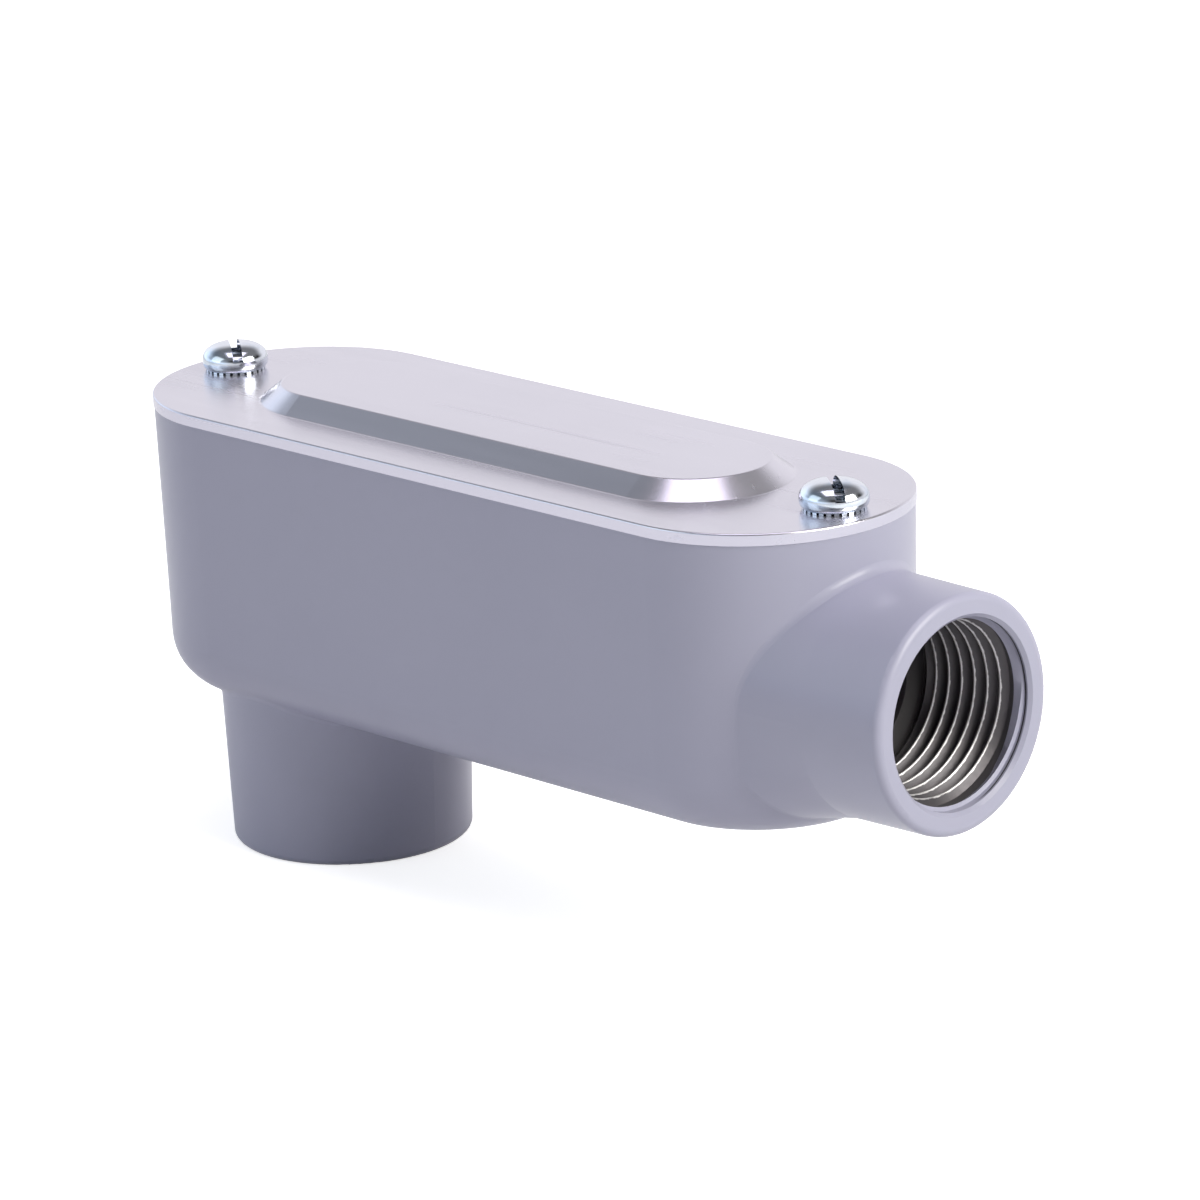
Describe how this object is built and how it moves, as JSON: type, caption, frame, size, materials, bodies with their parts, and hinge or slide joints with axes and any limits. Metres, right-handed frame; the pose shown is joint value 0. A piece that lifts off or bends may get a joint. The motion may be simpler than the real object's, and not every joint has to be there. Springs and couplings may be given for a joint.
{
  "type": "conduit body",
  "caption": "L-shaped conduit body with a back outlet: a long round-ended cast box with two threaded hubs, a raised-panel cover and two screws.",
  "frame": {"origin": "centre of the back hub's mouth, on that hub's axis", "axes": "+Z along the back hub's axis into the box and on towards the cover; +X along the box towards the end hub; +Y completes the frame"},
  "size_m": [0.1204, 0.035, 0.0566],
  "materials": {
    "grey_enamel": "satin enamel over cast aluminium",
    "bare_aluminium": "pressed sheet, softly brushed",
    "gasket_rubber": "matt",
    "zinc_plate": "bright zinc plating"
  },
  "bodies": {
    "casting": {"body_casting": "grey_enamel"},
    "lid": {"cover": "bare_aluminium", "gasket": "gasket_rubber"},
    "left_screw": {"left_cover_screw": "zinc_plate"},
    "right_screw": {"right_cover_screw": "zinc_plate"}
  },
  "joints": [
    {"name": "cover_lift", "type": "slide", "parent": "casting", "child": "lid", "axis": [0, 0, 1], "range_m": [0, 0.03]},
    {"name": "left_screw_out", "type": "slide", "parent": "lid", "child": "left_screw", "axis": [0, 0, 1], "range_m": [0, 0.012]},
    {"name": "right_screw_out", "type": "slide", "parent": "lid", "child": "right_screw", "axis": [0, 0, 1], "range_m": [0, 0.012]}
  ]
}
